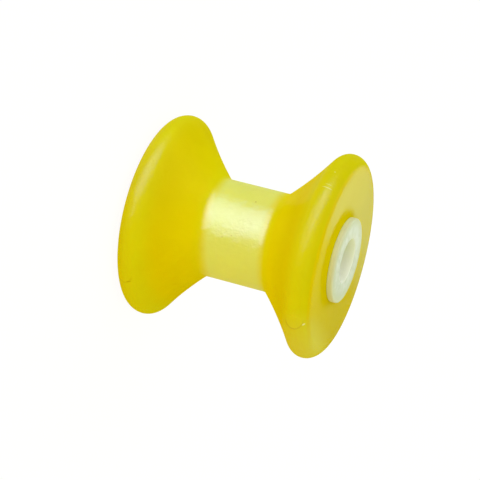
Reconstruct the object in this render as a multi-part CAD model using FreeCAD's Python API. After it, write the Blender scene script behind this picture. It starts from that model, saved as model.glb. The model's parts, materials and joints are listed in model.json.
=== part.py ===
import FreeCAD, Part
import math
import os
from FreeCAD import Vector

# Bow stop of a boat trailer: a spool-shaped elastomer roller moulded round a hard plastic hub.
# Lengths are in millimetres and angles in degrees. The part stands on one hub end, with the bore's
# axis along +Z.

# The hub, a straight tube that the trailer's shaft passes through
hub_length = 76.2
hub_diameter = 31.0
hub_edge_chamfer = 0.6
shaft_diameter = 15.875
shaft_clearance = 0.15
bore_chamfer = 0.8

# The spool's overall form
flange_diameter = 74.8
hub_standout = 1.85
waist_wall = 2.7

# The spool's outline, from the waist out to the end face. The flare leans from the axis by its angle.
root_radius = 2.4
flare_angle = 50.0
crest_radius = 4.6
rim_radius = 5.0

# Sizes that follow
hub_radius = hub_diameter / 2
bore_radius = shaft_diameter / 2 + shaft_clearance
flange_radius = flange_diameter / 2
waist_radius = hub_radius + waist_wall
body_half = hub_length / 2 - hub_standout

AXIS = Vector(0, 0, 1)
CENTRE = Vector(0, 0, 0)
FULL_TURN = 360


def at(radius, height):
    """A point of the outline, in the plane that is turned about the axis."""
    return Vector(radius, 0, height)


def leaning(angle):
    """The direction that points straight out at 0 degrees and straight up at 90."""
    turn = math.radians(angle)
    return at(math.cos(turn), math.sin(turn))


def line(start, end):
    return Part.LineSegment(start, end).toShape()


def arc(centre, start, end):
    """The shorter arc about centre from start to end."""
    middle = (start - centre) + (end - centre)
    middle.normalize()
    return Part.Arc(start, centre + middle * start.distanceToPoint(centre), end).toShape()


def spool_outline():
    """The edges of the spool's section, with its middle at height 0.

    In the upper half the flare is tangent to the root arc at the waist and to the crest arc at the flange.
    The crest arc goes as far past the crest as it starts before it, and the softer rim arc turns on from
    there into the flat end face. The lower half mirrors the upper one.
    """
    up_the_flare = at(math.sin(math.radians(flare_angle)), math.cos(math.radians(flare_angle)))
    from_crest_to_rim = leaning(flare_angle) * (crest_radius - rim_radius)
    rim_height = body_half - rim_radius
    crest_centre = at(flange_radius - crest_radius, rim_height - from_crest_to_rim.z)
    rim_centre = crest_centre + from_crest_to_rim

    flare_end = crest_centre + leaning(-flare_angle) * crest_radius
    crest_end = crest_centre + leaning(flare_angle) * crest_radius
    face_edge = at(rim_centre.x, body_half)
    face_end = at(hub_radius, body_half)

    to_flare_start = leaning(180 - flare_angle) * root_radius
    flare_start_radius = waist_radius + root_radius + to_flare_start.x
    flare_length = (flare_end.x - flare_start_radius) / up_the_flare.x
    flare_start = flare_end - up_the_flare * flare_length
    root_centre = flare_start - to_flare_start
    waist_end = at(waist_radius, root_centre.z)

    upper = [
        arc(root_centre, waist_end, flare_start),
        line(flare_start, flare_end),
        arc(crest_centre, flare_end, crest_end),
        arc(rim_centre, crest_end, face_edge),
        line(face_edge, face_end),
    ]
    lower = [edge.mirror(CENTRE, AXIS) for edge in upper]
    waist = line(at(waist_radius, -waist_end.z), waist_end)
    bore = line(face_end, at(hub_radius, -body_half))
    return upper + lower + [waist, bore]


def roller_body():
    """The spool, moulded round the hub so that its bore is the hub's own outside."""
    section = Part.Face(Part.Wire(Part.__sortEdges__(spool_outline())))
    spool = section.revolve(CENTRE, AXIS, FULL_TURN)
    spool.translate(AXIS * (hub_length / 2))
    return spool


def round_edges(shape, radius):
    """The circular edges of a shape that have the given radius."""
    circles = [edge for edge in shape.Edges if isinstance(edge.Curve, Part.Circle)]
    return [edge for edge in circles if math.isclose(edge.Curve.Radius, radius)]


def hub_sleeve():
    """A straight tube, chamfered outside at both ends and at both mouths of its bore."""
    tube = Part.makeCylinder(hub_radius, hub_length).cut(Part.makeCylinder(bore_radius, hub_length))
    tube = tube.makeChamfer(hub_edge_chamfer, round_edges(tube, hub_radius))
    return tube.makeChamfer(bore_chamfer, round_edges(tube, bore_radius))


parts = {
    "roller_body": roller_body(),
    "hub_sleeve": hub_sleeve(),
}

os.makedirs("parts", exist_ok=True)
for node, shape in parts.items():
    shape.exportStep(f"parts/{node}.step")
    print(node, "solids", len(shape.Solids), "valid", shape.isValid(), "volume", round(shape.Volume))
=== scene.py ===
import json
import math

import bmesh
import bpy
from mathutils import Matrix, Vector


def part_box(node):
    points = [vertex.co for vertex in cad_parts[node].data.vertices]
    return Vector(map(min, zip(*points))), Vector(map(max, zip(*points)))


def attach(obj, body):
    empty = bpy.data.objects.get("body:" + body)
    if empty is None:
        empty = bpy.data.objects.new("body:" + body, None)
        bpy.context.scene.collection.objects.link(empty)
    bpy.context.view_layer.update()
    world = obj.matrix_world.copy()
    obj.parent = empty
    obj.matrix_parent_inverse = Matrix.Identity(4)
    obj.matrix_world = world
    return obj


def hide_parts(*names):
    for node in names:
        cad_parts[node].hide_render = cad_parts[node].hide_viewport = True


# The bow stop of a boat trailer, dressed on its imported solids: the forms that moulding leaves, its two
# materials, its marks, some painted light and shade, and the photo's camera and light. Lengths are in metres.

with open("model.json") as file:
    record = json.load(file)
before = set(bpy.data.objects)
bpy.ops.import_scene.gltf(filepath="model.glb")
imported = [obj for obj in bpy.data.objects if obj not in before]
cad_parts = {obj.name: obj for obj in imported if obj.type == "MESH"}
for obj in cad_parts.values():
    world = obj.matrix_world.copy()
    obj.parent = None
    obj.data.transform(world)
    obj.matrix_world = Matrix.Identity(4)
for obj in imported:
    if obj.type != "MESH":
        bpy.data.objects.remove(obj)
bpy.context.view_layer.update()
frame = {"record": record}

MM = 0.001
ALONG_Y = Vector((0, 1, 0))
ALONG_Z = Vector((0, 0, 1))
CENTRE = Vector((0, 0, 0))

# Sizes of the solids, read from the frame, and the middle of the part
hub_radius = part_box("hub_sleeve")[1].x
hub_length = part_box("hub_sleeve")[1].z
flange_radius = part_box("roller_body")[1].x
body_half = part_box("roller_body")[1].z - hub_length / 2
mounts = {mount["name"]: mount for mount in frame["record"]["mounts"]}
bore_radius = mounts["bore"]["dims"]["r_mm"] * MM
middle = ALONG_Z * (hub_length / 2)

# The spool's outline as the cooling left it, from the waist out to the end face. The flares are drawn hollow
# between their two angles to the axis, the rims are flattened, and the end faces sink towards the hub.
waist_radius = hub_radius + 2.7 * MM
waist_half = 11.0 * MM
root_radius = 3.4 * MM
root_angle = math.radians(44.1)
crest_angle = math.radians(53.35)
crest_radius = 4.35 * MM
rim_depth = 5.7 * MM
rim_stand = 0.15 * MM
dish_depth = 0.4 * MM

# The hub's edges and the mouths of its bore
hub_edge_radius = 0.5 * MM
mouth_radius = 0.35 * MM
edge_segments = 6

# Places of marks are given about the axis: azimuth in degrees, radius, and height from the mid-plane.
# The mould's ejector pins left a round witness mark on each rim, the upper one more proud than the lower.
# A darker line is painted on one side of each mark's edge as painted shade, darkest where the mark has the
# full rise.
pin_radius = 3.0 * MM
pin_edge = 0.6 * MM
pin_marks = [((-48.4, 37.2 * MM, 32.3 * MM), 0.25 * MM), ((-48.4, 37.2 * MM, -32.3 * MM), 0.1 * MM)]
full_shade_rise = 0.3 * MM

# Marks and painted light on the yellow body: place, half depth, width and height, the share inside which the
# colour is full, and the colour. They are two short pale streaks on the upper rim, a painted glint beside
# them and one by its pin mark, a painted pale reflection on the upper flange towards +X, which fades all the
# way, a dark streak on the lower rim, and three specks on the waist.
marks_and_painted_light = [
    ((-127.0, 37.2 * MM, 32.4 * MM), (2 * MM, 0.25 * MM, 2.4 * MM), 0.4, "#e9e084"),
    ((-129.3, 37.2 * MM, 32.4 * MM), (2 * MM, 0.22 * MM, 1.7 * MM), 0.4, "#e4da60"),
    # A painted glint, not a mark.
    ((-139.7, 37.2 * MM, 32.1 * MM), (2 * MM, 0.25 * MM, 0.4 * MM), 0.4, "#e9e084"),
    # A painted glint beside the upper pin mark.
    ((-45.7, 35.4 * MM, 35.2 * MM), (0.8 * MM, 0.5 * MM, 0.8 * MM), 0.4, "#f8f6da"),
    # A painted pale reflection on the upper flange's rim and end face towards +X.
    ((-14.0, 35.0 * MM, 35.5 * MM), (13 * MM, 40 * MM, 13 * MM), 0.0, "#d9ca40"),
    ((-45.0, 37.2 * MM, -30.3 * MM), (2 * MM, 0.25 * MM, 1.2 * MM), 0.4, "#bca400"),
    ((-131.7, waist_radius, 3.9 * MM), (1 * MM, 0.35 * MM, 0.35 * MM), 0.4, "#c0ae4c"),
    ((-85.0, waist_radius, -0.3 * MM), (1 * MM, 0.3 * MM, 0.3 * MM), 0.4, "#ccbc5c"),
    ((-81.0, waist_radius, -3.6 * MM), (1 * MM, 0.3 * MM, 0.3 * MM), 0.4, "#ccbc5c"),
]

# The sizes of the body's clouds, of the ripples in its skin and of the hub's smudges, and how far clouds and
# smudges push the edges of what they make uneven
cloud_size, cloud_push = 16 * MM, 16 * MM
ripple_size, ripple_height = 5 * MM, 0.5 * MM
smudge_size, smudge_push = 3.5 * MM, 60 * MM

# The pale zone round the waist is shifted up the axis and slopes along X.
pale_shift, pale_slope = 0.3 * MM, 0.06

# The end faces have no gloss in a round zone about the hub, shifted towards the camera's side, where the real
# face mirrors the hub. The upper flange has a dull band along its crest.
dull_zone_shift, dull_zone_width = -6.5 * MM, 5 * MM
dull_band_height = 30.4 * MM

# Fineness of the turned meshes, and how close two sizes are that count as the same
turns_body, turns_hub = 640, 320
fine_step, coarse_step = 0.42 * MM, 1.0 * MM
finest_bend = math.radians(6)
weld = 0.001 * MM
near_enough = 0.01 * MM

# The camera looks at the middle of the part, which shows a little right of and above the picture's middle
camera_azimuth = math.radians(-0.24)
camera_elevation = math.radians(17.81)
camera_roll = math.radians(104.6)
camera_distance = 610.4 * MM
camera_aim_right, camera_aim_up = -3.03 * MM, -1.68 * MM
camera_sensor, camera_lens = 36, 126.4

# The world's light: colours from the photo's lower and upper sides, levels from behind and from the camera's
# side, and tones from below and above on the part's own axis
light_below, light_above = (0.86, 0.735, 0.35, 1), (0.93, 1.01, 1.04, 1)
level_behind, level_ahead = 0.6, 1.24
tone_down_axis, tone_up_axis = (1.02, 0.9, 1.0, 1), (0.98, 1.1, 1.0, 1)

# The floor's width in metres, and the strength and the grey at which it looks white and keeps the shadow
floor_width = 6
floor_strength, floor_grey = 0.93, "#5c5c5c"

# The softboxes stand a metre from the part's middle, one in front and one low behind. Each has its azimuth
# from the photo's side, -Y, towards -X, its elevation, the tilt of its long side, its half length and half
# width as seen from the part, all in degrees, and its radiance and colour.
softbox_distance = 1.0
softboxes = [
    (35, -1.5, -46, 70, 46, 20, (0.47, 0.6, 0.97)),
    (180, 20, 0, 35, 18, 3.4, (0.35, 1.1, 1.0)),
]


def linear(hex_colour):
    """The linear colour of an sRGB hex value."""
    shares = [int(hex_colour[start:start + 2], 16) / 255 for start in (1, 3, 5)]
    return [s / 12.92 if s <= 0.04045 else ((s + 0.055) / 1.055) ** 2.4 for s in shares] + [1.0]


def add(tree, kind, inputs=None, **settings):
    """Adds a node with its settings; each input is a plain value or another node's output."""
    made = tree.nodes.new(kind)
    for name, value in settings.items():
        setattr(made, name, value)
    for socket, value in (inputs or {}).items():
        if isinstance(value, bpy.types.NodeSocket):
            tree.links.new(value, made.inputs[socket])
        else:
            made.inputs[socket].default_value = value
    return made


def empty_tree(owner):
    """The owner's node tree, cleared."""
    owner.use_nodes = True
    owner.node_tree.nodes.clear()
    return owner.node_tree


def from_middle(tree, place, shift=0.0, slope=0.0):
    """How far a point is from the mid-plane, or from one that is shifted up the axis and slopes along X."""
    height = add(
        tree, "ShaderNodeVectorMath", {0: place, 1: (-slope, 0, 1)}, operation="DOT_PRODUCT",
    ).outputs["Value"]
    offset = add(tree, "ShaderNodeMath", {0: height, 1: middle.z + shift}, operation="SUBTRACT").outputs[0]
    return add(tree, "ShaderNodeMath", {0: offset}, operation="ABSOLUTE").outputs[0]


def from_axis(tree, place, shift=0.0):
    """How far a point is from the part's axis, or from a line beside it that is shifted along Y."""
    away = add(
        tree, "ShaderNodeVectorMath", {0: place, 1: (0, shift, 0)}, operation="SUBTRACT",
    ).outputs["Vector"]
    away = add(tree, "ShaderNodeVectorMath", {0: away, 1: (1, 1, 0)}, operation="MULTIPLY").outputs["Vector"]
    return add(tree, "ShaderNodeVectorMath", {0: away}, operation="LENGTH").outputs["Value"]


def uneven(tree, place, direction, noise, push):
    """How far a point is along a direction, plus as much of the push as the noise gives."""
    across = add(
        tree, "ShaderNodeVectorMath", {0: place, 1: direction}, operation="DOT_PRODUCT",
    ).outputs["Value"]
    return add(tree, "ShaderNodeMath", {0: noise, 1: push, 2: across}, operation="MULTIPLY_ADD").outputs[0]


def along(tree, reach, stops):
    """Colours by reach from the mid-plane: each stop is a distance in millimetres and its colour."""
    share = add(tree, "ShaderNodeMath", {0: reach, 1: middle.z}, operation="DIVIDE").outputs[0]
    ramp = add(tree, "ShaderNodeValToRGB", {"Fac": share})
    ramp.color_ramp.interpolation = "EASE"
    while len(ramp.color_ramp.elements) < len(stops):
        ramp.color_ramp.elements.new(1.0)
    for stop, (distance, colour) in zip(ramp.color_ramp.elements, stops):
        stop.position = distance * MM / middle.z
        stop.color = linear(colour)
    return ramp.outputs["Color"]


def spot(place):
    """The point of a place that is given about the axis, from the middle of the part."""
    azimuth, radius, height = place
    return Matrix.Rotation(math.radians(azimuth), 3, "Z") @ Vector((radius, 0, height))


def about_mark(tree, place, where, half_sizes):
    """A point's place from the middle of a mark, in shares of its half sizes, and how far out that is."""
    local = add(
        tree, "ShaderNodeMapping",
        {
            "Vector": place, "Location": spot(where) + middle, "Rotation": (0, 0, math.radians(where[0])),
            "Scale": half_sizes,
        },
        vector_type="TEXTURE",
    ).outputs["Vector"]
    reach = add(tree, "ShaderNodeVectorMath", {0: local}, operation="LENGTH").outputs["Value"]
    return local, reach


def patch_mask(tree, place, where, half_sizes, core):
    """A mask for one mark or patch of painted light, full inside its core and faded out at its half sizes."""
    reach = about_mark(tree, place, where, half_sizes)[1]
    return add(
        tree, "ShaderNodeMapRange", {"Value": reach, "From Min": 1.0, "From Max": core},
        interpolation_type="SMOOTHSTEP",
    ).outputs["Result"]


def pin_edge_shade(tree, place, where, rise):
    """A mask for painted shade on one side of a pin's witness line, more where the mark is prouder."""
    local, reach = about_mark(tree, place, where, (pin_radius, pin_radius, pin_radius))
    off_line = add(tree, "ShaderNodeMath", {0: reach, 1: 1.0}, operation="SUBTRACT").outputs[0]
    off_line = add(tree, "ShaderNodeMath", {0: off_line}, operation="ABSOLUTE").outputs[0]
    side = add(tree, "ShaderNodeSeparateXYZ", {0: local}).outputs["Y"]
    shaded_side = add(
        tree, "ShaderNodeMapRange",
        {"Value": side, "From Min": -0.3, "From Max": 0.6, "To Max": min(rise / full_shade_rise, 1)},
        interpolation_type="SMOOTHSTEP",
    ).outputs["Result"]
    return add(
        tree, "ShaderNodeMapRange", {"Value": off_line, "From Min": 0.2, "From Max": 0.02, "To Max": shaded_side},
        interpolation_type="SMOOTHSTEP",
    ).outputs["Result"]


def end_face_colour_and_shade(tree, place, clouds, off_hub):
    """A deep yellow with painted shade: darker unevenly towards +Y and +X, and a little darker close to the
    hub.
    """
    # Painted shade: the end face darkens towards +Y and +X, unevenly with the clouds.
    across = uneven(tree, place, (0.5, 1, 0), clouds, cloud_push)
    far = add(
        tree, "ShaderNodeMapRange", {"Value": across, "From Min": -20 * MM, "From Max": 36 * MM},
    ).outputs["Result"]
    colour = add(
        tree, "ShaderNodeMix", {"Factor": far, "A": linear("#dfc300"), "B": linear("#ccb100")},
        data_type="RGBA",
    ).outputs["Result"]
    # Painted shade: a little darker close to the hub.
    lit_off_hub = add(
        tree, "ShaderNodeMapRange", {"Value": off_hub, "To Min": 0.98, "To Max": 1.04},
    ).outputs["Result"]
    return add(
        tree, "ShaderNodeVectorMath", {0: colour, "Scale": lit_off_hub}, operation="SCALE",
    ).outputs["Vector"]


def body_colour(tree, place, clouds, on_face, off_hub):
    """Yellow, pale round the waist, deep on the flares and greener on the rims, with clouds and marks. The
    lighter yellow where the flares meet the waist and the paler, greener rims are painted light, and painted
    shade, glints and a pale reflection are laid on with the marks.
    """
    pale_reach = from_middle(tree, place, pale_shift, pale_slope)
    # Painted light: the ramp is lighter where the flares meet the waist, and paler and greener on the rims.
    colour = along(tree, pale_reach, [
        (8.6, "#e5e568"), (12.8, "#e6d604"), (16.0, "#e8d200"), (24.0, "#e2ca00"), (30.0, "#dcd00c"),
        (33.0, "#dace0c"), (35.4, "#d8c804"),
    ])
    face_colour_and_shade = end_face_colour_and_shade(tree, place, clouds, off_hub)
    colour = add(
        tree, "ShaderNodeMix", {"Factor": on_face, "A": colour, "B": face_colour_and_shade}, data_type="RGBA",
    ).outputs["Result"]
    clouded = add(
        tree, "ShaderNodeMapRange", {"Value": clouds, "From Min": 0.3, "From Max": 0.7, "To Min": 0.95},
    ).outputs["Result"]
    colour = add(
        tree, "ShaderNodeVectorMath", {0: colour, "Scale": clouded}, operation="SCALE",
    ).outputs["Vector"]
    for where, rise in pin_marks:
        # Painted shade: a darker line on one side of each pin mark's edge.
        edge_shade = pin_edge_shade(tree, place, where, rise)
        colour = add(
            tree, "ShaderNodeMix", {"Factor": edge_shade, "A": colour, "B": linear("#c0a200")}, data_type="RGBA",
        ).outputs["Result"]
    # Marks, and also painted glints and a painted pale reflection.
    for where, half_sizes, core, patch_colour in marks_and_painted_light:
        mark = patch_mask(tree, place, where, half_sizes, core)
        colour = add(
            tree, "ShaderNodeMix", {"Factor": mark, "A": colour, "B": linear(patch_colour)},
            data_type="RGBA",
        ).outputs["Result"]
    return colour


def body_gloss(tree, place, clouds, on_face, off_hub):
    """How much of the coat shows, which is most round the waist and least on the end faces. It wears off
    unevenly towards +X, and thins in the dull band and towards the side at -X."""
    gloss = along(tree, from_middle(tree, place), [
        (10.8, "#b6b6b6"), (13.0, "#4a4a4a"), (26.0, "#4a4a4a"), (29.0, "#646464"), (34.2, "#646464"),
        (35.3, "#444444"),
    ])
    across = uneven(tree, place, (1, -0.25, 0), clouds, cloud_push)
    unworn = add(
        tree, "ShaderNodeMapRange",
        {"Value": across, "From Min": 4 * MM, "From Max": 34 * MM, "To Min": 1.1, "To Max": 0.05},
        interpolation_type="SMOOTHSTEP",
    ).outputs["Result"]
    off_band = add(
        tree, "ShaderNodeMapRange",
        {
            "Value": from_middle(tree, place, dull_band_height),
            "From Min": 0.4 * MM, "From Max": 2.4 * MM, "To Min": 0.35,
        },
        interpolation_type="SMOOTHSTEP",
    ).outputs["Result"]
    side = add(tree, "ShaderNodeSeparateXYZ", {0: place}).outputs["X"]
    radius = from_axis(tree, place)
    turned = add(tree, "ShaderNodeMath", {0: side, 1: radius}, operation="DIVIDE").outputs[0]
    off_side = add(
        tree, "ShaderNodeMapRange",
        {"Value": turned, "From Min": -0.95, "From Max": -0.6, "To Min": 0.25, "To Max": 1.0},
        interpolation_type="SMOOTHSTEP",
    ).outputs["Result"]
    for share in (unworn, off_band, off_side):
        gloss = add(tree, "ShaderNodeMath", {0: gloss, 1: share}, operation="MULTIPLY").outputs[0]

    face_gloss = add(
        tree, "ShaderNodeMapRange",
        {"Value": across, "From Min": -8 * MM, "From Max": 18 * MM, "To Min": 0.12, "To Max": 0.03},
        interpolation_type="SMOOTHSTEP",
    ).outputs["Result"]
    face_gloss = add(tree, "ShaderNodeMath", {0: face_gloss, 1: off_hub}, operation="MULTIPLY").outputs[0]
    return add(tree, "ShaderNodeMix", {"Factor": on_face, "A": gloss, "B": face_gloss}).outputs["Result"]


def polyurethane():
    """Cast polyurethane, cloudy yellow, glossy from the polished mould. The eye sees a deep, even yellow,
    and a paler one at the waist, where the wall is so thin that the white hub shines through."""
    material = bpy.data.materials.new("cast_polyurethane_yellow")
    tree = empty_tree(material)
    place = add(tree, "ShaderNodeTexCoord").outputs["Object"]
    clouds = add(
        tree, "ShaderNodeTexNoise",
        {"Vector": place, "Scale": 1 / cloud_size, "Detail": 2.0, "Roughness": 0.5, "Distortion": 0.4},
    ).outputs["Fac"]
    on_face = add(
        tree, "ShaderNodeMapRange",
        {
            "Value": from_middle(tree, place),
            "From Min": body_half - 0.6 * MM, "From Max": body_half - 0.1 * MM,
        },
        interpolation_type="SMOOTHSTEP",
    ).outputs["Result"]
    off_hub = add(
        tree, "ShaderNodeMapRange",
        {
            "Value": from_axis(tree, place, dull_zone_shift),
            "From Min": hub_radius, "From Max": hub_radius + dull_zone_width,
        },
        interpolation_type="SMOOTHSTEP",
    ).outputs["Result"]
    ripples = add(
        tree, "ShaderNodeTexNoise",
        {"Vector": place, "Scale": 1 / ripple_size, "Detail": 3.0, "Roughness": 0.6},
    ).outputs["Fac"]
    rippled = add(
        tree, "ShaderNodeMapRange", {"Value": on_face, "To Min": 1.0, "To Max": 0.3},
    ).outputs["Result"]
    bump = add(
        tree, "ShaderNodeBump", {"Height": ripples, "Strength": rippled, "Distance": ripple_height},
    ).outputs["Normal"]
    shader = add(
        tree, "ShaderNodeBsdfPrincipled",
        {
            "Base Color": body_colour(tree, place, clouds, on_face, off_hub),
            "Specular IOR Level": 0.0, "Normal": bump,
            "Coat Weight": body_gloss(tree, place, clouds, on_face, off_hub),
            "Coat Roughness": 0.16, "Coat IOR": 1.5, "Coat Normal": bump,
            "Subsurface Weight": 0.5, "Subsurface Radius": (1.0, 0.7, 0.15), "Subsurface Scale": 2.5 * MM,
        },
    )
    add(tree, "ShaderNodeOutputMaterial", {"Surface": shader.outputs["BSDF"]})
    return material


def hub_plastic():
    """Natural white plastic, injection moulded: satin and milky, with light handling smudges, and greyer
    towards
    +X as painted shade. Near its outside it takes the body's yellow as painted bounce light, and its bore is
    a lighter white, lightest towards +X, as painted light."""
    material = bpy.data.materials.new("moulded_natural_white_plastic")
    tree = empty_tree(material)
    place = add(tree, "ShaderNodeTexCoord").outputs["Object"]
    smudges = add(
        tree, "ShaderNodeTexNoise",
        {"Vector": place, "Scale": 1 / smudge_size, "Detail": 4.0, "Roughness": 0.6},
    ).outputs["Fac"]
    # Greyer towards +X as painted shade, broken up unevenly by the smudges.
    smudged_and_shaded = add(
        tree, "ShaderNodeMapRange",
        {
            "Value": uneven(tree, place, (1, 0, 0), smudges, smudge_push),
            "From Min": 14 * MM, "From Max": 44 * MM,
        },
    ).outputs["Result"]
    white = add(
        tree, "ShaderNodeMix", {"Factor": smudged_and_shaded, "A": linear("#e4e2e2"), "B": linear("#cac8bc")},
        data_type="RGBA",
    ).outputs["Result"]
    # Painted bounce light: the body's yellow on the hub's outside, lightest by the body where shade would
    # fall, greyer towards the hub's end.
    painted_bounce_light = along(tree, from_middle(tree, place), [
        (36.2, "#fdf6b8"), (37.0, "#e0dab0"), (37.6, "#d0ceac"), (38.1, "#c8c6a8"),
    ])
    radius = from_axis(tree, place)
    outside = add(
        tree, "ShaderNodeMapRange",
        {"Value": radius, "From Min": hub_radius - 4.5 * MM, "From Max": hub_radius},
        interpolation_type="SMOOTHSTEP",
    ).outputs["Result"]
    colour = add(
        tree, "ShaderNodeMix", {"Factor": outside, "A": white, "B": painted_bounce_light}, data_type="RGBA",
    ).outputs["Result"]
    # Painted light: the bore is a lighter white, lightest towards +X.
    side = add(tree, "ShaderNodeSeparateXYZ", {0: place}).outputs["X"]
    lower = add(
        tree, "ShaderNodeMapRange", {"Value": side, "From Min": -6 * MM, "From Max": 3 * MM},
        interpolation_type="SMOOTHSTEP",
    ).outputs["Result"]
    wall = add(
        tree, "ShaderNodeMix", {"Factor": lower, "A": linear("#eaeede"), "B": linear("#f4f2ea")},
        data_type="RGBA",
    ).outputs["Result"]
    inside = add(
        tree, "ShaderNodeMapRange",
        {"Value": radius, "From Min": bore_radius + 0.2 * MM, "From Max": bore_radius + 0.02 * MM},
    ).outputs["Result"]
    colour = add(
        tree, "ShaderNodeMix", {"Factor": inside, "A": colour, "B": wall}, data_type="RGBA",
    ).outputs["Result"]
    shader = add(
        tree, "ShaderNodeBsdfPrincipled",
        {
            "Base Color": colour, "Roughness": 0.6, "Specular IOR Level": 0.2,
            "Subsurface Weight": 1.0, "Subsurface Radius": (1.0, 1.0, 0.85), "Subsurface Scale": 7 * MM,
        },
    )
    add(tree, "ShaderNodeOutputMaterial", {"Surface": shader.outputs["BSDF"]})
    return material


def turn(bm, tip, centre, angle, step):
    """Carries the outline on along an arc about a centre, and gives its new last vertex."""
    reach = (tip.co - centre).length
    steps = max(math.ceil(abs(angle) * reach / step), math.ceil(abs(angle) / finest_bend))
    made = bmesh.ops.spin(bm, geom=[tip], cent=centre, axis=ALONG_Y, angle=angle, steps=steps)
    return next(part for part in made["geom_last"] if isinstance(part, bmesh.types.BMVert))


def run(bm, tip, height):
    """Carries the outline on along the axis, and gives its new last vertex."""
    made = bmesh.ops.extrude_vert_indiv(bm, verts=[tip])
    bmesh.ops.translate(bm, verts=made["verts"], vec=ALONG_Z * height)
    return made["verts"][0]


def out_of_flare(angle):
    """The direction square to the flare and away from the spool, where the flare leans by angle."""
    return Vector((math.cos(angle), 0, -math.sin(angle)))


def turn_about_axis(bm, turns):
    """Turns the outline a quarter of the way round and mirrors it twice into a closed surface."""
    bmesh.ops.spin(
        bm, geom=bm.verts[:] + bm.edges[:], cent=CENTRE, axis=ALONG_Z, angle=math.tau / 4, steps=turns // 4,
    )
    for axis in "XY":
        bmesh.ops.mirror(bm, geom=bm.verts[:] + bm.edges[:] + bm.faces[:], axis=axis, merge_dist=weld)
    bmesh.ops.recalc_face_normals(bm, faces=bm.faces[:])


def at_radius(edge, radius):
    """Whether both ends of an edge are that far from the axis."""
    return all(abs(vertex.co.xy.length - radius) < near_enough for vertex in edge.verts)


def raise_pin_mark(bm, place, rise):
    """Lifts the round patch that an ejector pin left on the rim, with a soft edge."""
    centre = spot(place)
    bm.normal_update()
    for vertex in bm.verts:
        inside = (pin_radius + pin_edge / 2 - (vertex.co - centre).length) / pin_edge
        if inside > 0:
            share = min(inside, 1)
            vertex.co += vertex.normal * rise * share * share * (3 - 2 * share)


def make_piece(bm, node, material):
    """Puts a finished mesh in the scene in place of a node."""
    bmesh.ops.translate(bm, verts=bm.verts[:], vec=middle)
    for face in bm.faces:
        face.smooth = True
    mesh = bpy.data.meshes.new(f"{node}_moulded")
    bm.to_mesh(mesh)
    bm.free()
    mesh.materials.append(material)
    piece = bpy.data.objects.new(f"{node}_moulded", mesh)
    bpy.context.scene.collection.objects.link(piece)
    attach(piece, "root")
    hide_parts(node)


def roller_body():
    """The spool: one half's outline by arcs, mirrored, closed along the hub and turned. The edges where it
    meets the hub stay sharp."""
    flare_span = (
        flange_radius - waist_radius - root_radius * (1 - math.cos(root_angle))
        - crest_radius * (1 - math.cos(crest_angle))
    )
    flare_radius = flare_span / (math.cos(root_angle) - math.cos(crest_angle))
    flare_turn = crest_angle - root_angle

    bm = bmesh.new()
    tip = bm.verts.new((waist_radius, 0, 0))
    tip = run(bm, tip, waist_half)
    tip = turn(bm, tip, tip.co + out_of_flare(0) * root_radius, root_angle, coarse_step)
    tip = turn(bm, tip, tip.co + out_of_flare(root_angle) * flare_radius, flare_turn, coarse_step)
    tip = turn(bm, tip, tip.co - out_of_flare(crest_angle) * crest_radius, -crest_angle, fine_step)
    crest = tip.co.copy()
    outline = set(bm.verts)
    tip = turn(bm, tip, crest - out_of_flare(0) * rim_depth, -math.pi / 2, fine_step)
    bmesh.ops.scale(
        bm, verts=[vertex for vertex in bm.verts if vertex not in outline],
        space=Matrix.Translation(-crest), vec=(1, 1, (body_half + rim_stand - crest.z) / rim_depth),
    )
    face_width = tip.co.x - hub_radius
    dish_radius = (face_width ** 2 + dish_depth ** 2) / (2 * dish_depth)
    dish_turn = -math.asin(face_width / dish_radius)
    turn(bm, tip, tip.co - ALONG_Z * dish_radius, dish_turn, 2 * coarse_step)
    bmesh.ops.mirror(bm, geom=bm.verts[:] + bm.edges[:], axis="Z", merge_dist=weld)
    ends = [vertex for vertex in bm.verts if len(vertex.link_edges) == 1]
    bmesh.ops.contextual_create(bm, geom=ends)
    turn_about_axis(bm, turns_body)
    for edge in bm.edges:
        edge.smooth = not at_radius(edge, hub_radius)
    for place, rise in pin_marks:
        raise_pin_mark(bm, place, rise)
    make_piece(bm, "roller_body", polyurethane())


def hub_sleeve():
    """The hub: a square-edged tube turned from its section, then rounded at its four edges."""
    bm = bmesh.new()
    corner = bm.verts.new((bore_radius, 0, -hub_length / 2))
    run(bm, corner, hub_length)
    out = bmesh.ops.extrude_edge_only(bm, edges=bm.edges[:])
    outer = [part for part in out["geom"] if isinstance(part, bmesh.types.BMVert)]
    bmesh.ops.translate(bm, verts=outer, vec=Vector((hub_radius - bore_radius, 0, 0)))
    bmesh.ops.delete(bm, geom=bm.faces[:], context="FACES_ONLY")
    turn_about_axis(bm, turns_hub)
    for radius, rounding in ((hub_radius, hub_edge_radius), (bore_radius, mouth_radius)):
        rings = [
            edge for edge in bm.edges
            if at_radius(edge, radius) and abs(edge.verts[0].co.z - edge.verts[1].co.z) < near_enough
        ]
        bmesh.ops.bevel(
            bm, geom=rings, offset=rounding, segments=edge_segments, profile=0.5, affect="EDGES",
            material=-1,
        )
    make_piece(bm, "hub_sleeve", hub_plastic())


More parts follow.
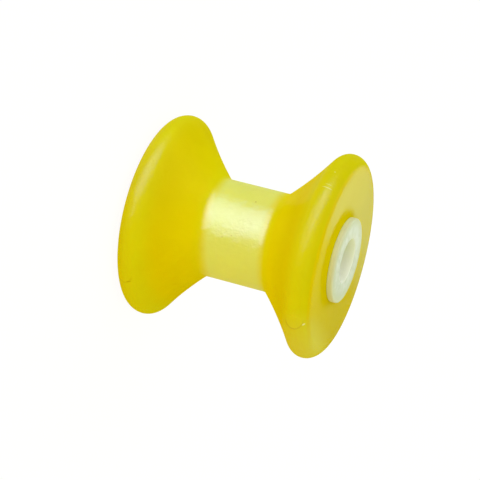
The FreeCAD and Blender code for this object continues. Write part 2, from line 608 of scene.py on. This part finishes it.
def floor():
    """A plain white floor. Only the camera sees it, so that the light comes evenly from all round."""
    bpy.ops.mesh.primitive_plane_add(size=floor_width)
    plane = bpy.context.object
    plane.name = "studio_floor"
    material = bpy.data.materials.new("white_studio_floor")
    tree = empty_tree(material)
    seen = add(tree, "ShaderNodeLightPath").outputs["Is Camera Ray"]
    white = add(tree, "ShaderNodeEmission", {"Strength": floor_strength}).outputs["Emission"]
    matte = add(tree, "ShaderNodeBsdfDiffuse", {"Color": linear(floor_grey)}).outputs["BSDF"]
    lit = add(tree, "ShaderNodeAddShader", {0: white, 1: matte}).outputs["Shader"]
    clear = add(tree, "ShaderNodeBsdfTransparent").outputs["BSDF"]
    surface = add(tree, "ShaderNodeMixShader", {0: seen, 1: clear, 2: lit}).outputs["Shader"]
    add(tree, "ShaderNodeOutputMaterial", {"Surface": surface})
    plane.data.materials.append(material)


def lean(tree, towards, direction):
    """How much a ray's way leans towards a direction, from 0 straight against it to 1 straight along it."""
    together = add(
        tree, "ShaderNodeVectorMath", {0: towards, 1: direction}, operation="DOT_PRODUCT",
    ).outputs["Value"]
    return add(tree, "ShaderNodeMapRange", {"Value": together, "From Min": -1.0}).outputs["Result"]


def studio_world(photo_up, photo_back):
    """A white surround for the eye and for gloss. The light that it gives is white from the photo's upper
    side, and lower and warmer from its lower side. It is stronger from the camera's side, and greener from
    above on the part's own axis than from below."""
    world = bpy.data.worlds.new("white_studio")
    tree = empty_tree(world)
    towards = add(tree, "ShaderNodeTexCoord").outputs["Generated"]
    light = add(
        tree, "ShaderNodeMix",
        {"Factor": lean(tree, towards, photo_up), "A": light_below, "B": light_above}, data_type="RGBA",
    ).outputs["Result"]
    level = add(
        tree, "ShaderNodeMapRange",
        {"Value": lean(tree, towards, photo_back), "To Min": level_behind, "To Max": level_ahead},
    ).outputs["Result"]
    light = add(tree, "ShaderNodeVectorMath", {0: light, "Scale": level}, operation="SCALE").outputs["Vector"]
    tone = add(
        tree, "ShaderNodeMix",
        {"Factor": lean(tree, towards, ALONG_Z), "A": tone_down_axis, "B": tone_up_axis}, data_type="RGBA",
    ).outputs["Result"]
    light = add(tree, "ShaderNodeVectorMath", {0: light, 1: tone}, operation="MULTIPLY").outputs["Vector"]

    path = add(tree, "ShaderNodeLightPath").outputs
    seen = path["Is Camera Ray"]
    for ray in ("Is Glossy Ray", "Is Transmission Ray"):
        seen = add(tree, "ShaderNodeMath", {0: seen, 1: path[ray]}, operation="MAXIMUM").outputs[0]
    colour = add(
        tree, "ShaderNodeMix", {"Factor": seen, "A": light, "B": linear("#ffffff")}, data_type="RGBA",
    ).outputs["Result"]
    background = add(tree, "ShaderNodeBackground", {"Color": colour, "Strength": 1.0}).outputs["Background"]
    add(tree, "ShaderNodeOutputWorld", {"Surface": background})
    bpy.context.scene.world = world


def softbox(azimuth, elevation, tilt, half_length, half_width, radiance, colour):
    """A long soft lamp that faces the part and fades from its middle outwards. It only makes the gloss."""
    data = bpy.data.lights.new("softbox", "AREA")
    data.shape = "RECTANGLE"
    data.size = 2 * softbox_distance * math.tan(math.radians(half_length))
    data.size_y = 2 * softbox_distance * math.tan(math.radians(half_width))
    data.energy = math.pi * radiance * data.size * data.size_y
    data.color = colour
    tree = empty_tree(data)
    on_lamp = add(tree, "ShaderNodeNewGeometry").outputs["Parametric"]
    off_middle = add(
        tree, "ShaderNodeVectorMath", {0: on_lamp, 1: (0.5, 0.5, 0)}, operation="DISTANCE",
    ).outputs["Value"]
    fade = add(
        tree, "ShaderNodeMapRange", {"Value": off_middle, "From Min": 0.5, "From Max": 0.0},
        interpolation_type="SMOOTHSTEP",
    ).outputs["Result"]
    glow = add(tree, "ShaderNodeEmission", {"Strength": fade}).outputs["Emission"]
    add(tree, "ShaderNodeOutputLight", {"Surface": glow})

    turned, raised = math.radians(azimuth), math.radians(elevation)
    away = Vector((
        -math.sin(turned) * math.cos(raised), -math.cos(turned) * math.cos(raised), math.sin(raised),
    ))
    facing = away.to_track_quat("Z", "Y").to_matrix() @ Matrix.Rotation(math.radians(tilt), 3, "Z")
    lamp = bpy.data.objects.new("softbox", data)
    lamp.matrix_world = Matrix.Translation(middle + away * softbox_distance) @ facing.to_4x4()
    lamp.visible_camera = False
    lamp.visible_diffuse = False
    bpy.context.scene.collection.objects.link(lamp)


def camera():
    """The photo's camera: far off, rolled so that the part's axis lies across the picture. Gives the
    directions up the photo and back to the camera."""
    back = Vector((
        math.sin(camera_azimuth) * math.cos(camera_elevation),
        -math.cos(camera_azimuth) * math.cos(camera_elevation),
        math.sin(camera_elevation),
    ))
    level = Vector((math.cos(camera_azimuth), math.sin(camera_azimuth), 0))
    right = Matrix.Rotation(camera_roll, 3, back) @ level
    up = back.cross(right)
    place = middle + back * camera_distance + right * camera_aim_right + up * camera_aim_up
    data = bpy.data.cameras.new("photo_camera")
    data.sensor_width = camera_sensor
    data.lens = camera_lens
    photo_camera = bpy.data.objects.new("photo_camera", data)
    turned = Matrix((right, up, back)).transposed()
    photo_camera.matrix_world = Matrix.Translation(place) @ turned.to_4x4()
    bpy.context.scene.collection.objects.link(photo_camera)
    bpy.context.scene.camera = photo_camera
    return up, back


roller_body()
hub_sleeve()
floor()
studio_world(*camera())
for lamp_values in softboxes:
    softbox(*lamp_values)
bpy.context.scene.view_settings.view_transform = "Standard"
